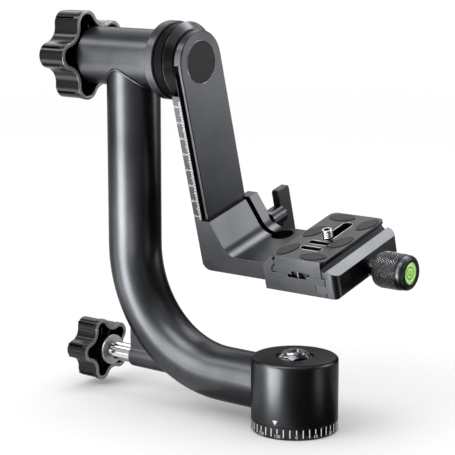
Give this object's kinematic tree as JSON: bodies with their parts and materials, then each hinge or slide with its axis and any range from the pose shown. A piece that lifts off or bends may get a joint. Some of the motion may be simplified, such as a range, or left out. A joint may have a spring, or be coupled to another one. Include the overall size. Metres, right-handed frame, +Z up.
{
  "type": "gimbal tripod head",
  "caption": "Side-mount gimbal tripod head: bent tube arm on a panning base, a tilting swing arm, a sliding cradle with a dovetail clamp and plate, and star-shaped lock knobs.",
  "frame": {"origin": "centre of the panning base's underside, at the mouth of the tripod screw's hole", "axes": "+Z up along the pan axis, +X along the tilt axis towards the cradle and its clamp knob, +Y across, the way the hanging arm leans from the viewer's side"},
  "size_m": [0.2367, 0.1098, 0.2369],
  "materials": {
    "black_aluminium": "satin black anodised",
    "moulded_knob": "moulded",
    "machined_steel": "ground",
    "black_steel": "blackened",
    "bright_steel": "turned",
    "chromed_steel": "polished",
    "zinc_steel": "zinc plated",
    "bronze": "turned",
    "slip_plastic": "smooth",
    "pad_rubber": "matt",
    "level_fluid": "clear over green"
  },
  "bodies": {
    "base": {"base_plate": "black_aluminium", "base_screws": "black_steel", "pan_spindle": "machined_steel", "pan_thrust_washer": "slip_plastic", "pan_washer": "black_steel", "pan_nut": "black_steel"},
    "yoke": {"pan_housing": "black_aluminium", "pan_bush": "bronze", "arm_tube": "black_aluminium", "pan_lock_boss": "black_aluminium", "tilt_barrel": "black_aluminium", "tilt_bush_outer": "bronze", "tilt_bush_inner": "bronze", "friction_ring": "black_aluminium"},
    "pan_brake": {"pan_brake_rod": "machined_steel", "pan_brake_pad": "bronze"},
    "pan_knob": {"pan_lock_knob": "moulded_knob", "pan_lock_screw": "chromed_steel", "pan_lock_washer": "zinc_steel"},
    "swing": {"tilt_shaft": "machined_steel", "tilt_hub": "black_aluminium", "hub_screws": "black_steel", "swing_arm": "black_aluminium", "hub_cap": "black_aluminium"},
    "tilt_washer": {"tilt_thrust_washer": "zinc_steel"},
    "tilt_knob": {"tilt_lock_knob": "moulded_knob", "tilt_knob_insert": "bronze"},
    "cradle": {"cradle_bracket": "black_aluminium", "clamp_base": "black_aluminium", "clamp_screws": "black_steel", "plate_stop_pin": "bright_steel"},
    "wing_washer_body": {"wing_washer": "black_steel"},
    "wing": {"wing_lever": "black_aluminium", "wing_screw": "black_steel"},
    "jaw": {"movable_jaw": "black_aluminium"},
    "clamp_knob_body": {"clamp_spindle": "machined_steel", "clamp_knob": "black_aluminium", "level_vial": "level_fluid", "level_bezel": "black_aluminium"},
    "plate": {"quick_release_plate": "black_aluminium", "plate_pads": "pad_rubber"},
    "screw_slider": {"camera_clip": "bright_steel"},
    "camera_screw_body": {"camera_screw": "bright_steel"}
  },
  "joints": [
    {"name": "pan", "type": "hinge", "parent": "base", "child": "yoke", "pos_m": [0, 0, 0.02], "axis": [0, 0, 1], "continuous": true},
    {"name": "pan_lock_push", "type": "slide", "parent": "yoke", "child": "pan_brake", "axis": [1, 0, 0], "range_m": [-0.00125, 0]},
    {"name": "pan_knob_turn", "type": "hinge", "parent": "pan_brake", "child": "pan_knob", "pos_m": [-0.15, 0, 0.0237], "axis": [1, 0, 0], "range_deg": [-362, 0]},
    {"name": "tilt", "type": "hinge", "parent": "yoke", "child": "swing", "pos_m": [-0.08, 0, 0.2094], "axis": [1, 0, 0], "continuous": true},
    {"name": "tilt_lock_push", "type": "slide", "parent": "swing", "child": "tilt_washer", "axis": [1, 0, 0], "range_m": [-0.0015, 0]},
    {"name": "tilt_knob_turn", "type": "hinge", "parent": "tilt_washer", "child": "tilt_knob", "pos_m": [-0.165, 0, 0.2094], "axis": [1, 0, 0], "range_deg": [-362, 0]},
    {"name": "cradle_height", "type": "slide", "parent": "swing", "child": "cradle", "axis": [0, -0.2588, 0.9659], "range_m": [0, 0.06]},
    {"name": "wing_push", "type": "slide", "parent": "cradle", "child": "wing_washer_body", "axis": [0, 0.9659, 0.2588], "range_m": [0, 0.001]},
    {"name": "wing_turn", "type": "hinge", "parent": "wing_washer_body", "child": "wing", "pos_m": [-0.063, 0.063, 0.1095], "axis": [0, 0.9659, 0.2588], "range_deg": [0, 362]},
    {"name": "jaw_slide", "type": "slide", "parent": "cradle", "child": "jaw", "axis": [1, 0, 0], "range_m": [0, 0.004]},
    {"name": "clamp_knob_turn", "type": "hinge", "parent": "jaw", "child": "clamp_knob_body", "pos_m": [0.047, 0.0307, 0.09484], "axis": [1, 0, 0], "range_deg": [0, 1445]},
    {"name": "plate_slide", "type": "slide", "parent": "cradle", "child": "plate", "axis": [0, 0.9659, 0.2588], "range_m": [-0.02, 0.02]},
    {"name": "screw_slide", "type": "slide", "parent": "plate", "child": "screw_slider", "axis": [0, 0.9659, 0.2588], "range_m": [0, 0.0192]},
    {"name": "camera_screw_turn", "type": "hinge", "parent": "screw_slider", "child": "camera_screw_body", "pos_m": [0.0048, 0.02506, 0.10948], "axis": [0, -0.2588, 0.9659], "continuous": true}
  ],
  "couplings": [
    {"joint": "pan_knob_turn", "follows": "pan_lock_push", "rad_per_m": 5026.5},
    {"joint": "tilt_knob_turn", "follows": "tilt_lock_push", "rad_per_m": 4188.8},
    {"joint": "wing_turn", "follows": "wing_push", "rad_per_m": 6283.2},
    {"joint": "clamp_knob_turn", "follows": "jaw_slide", "rad_per_m": 6283.2}
  ]
}
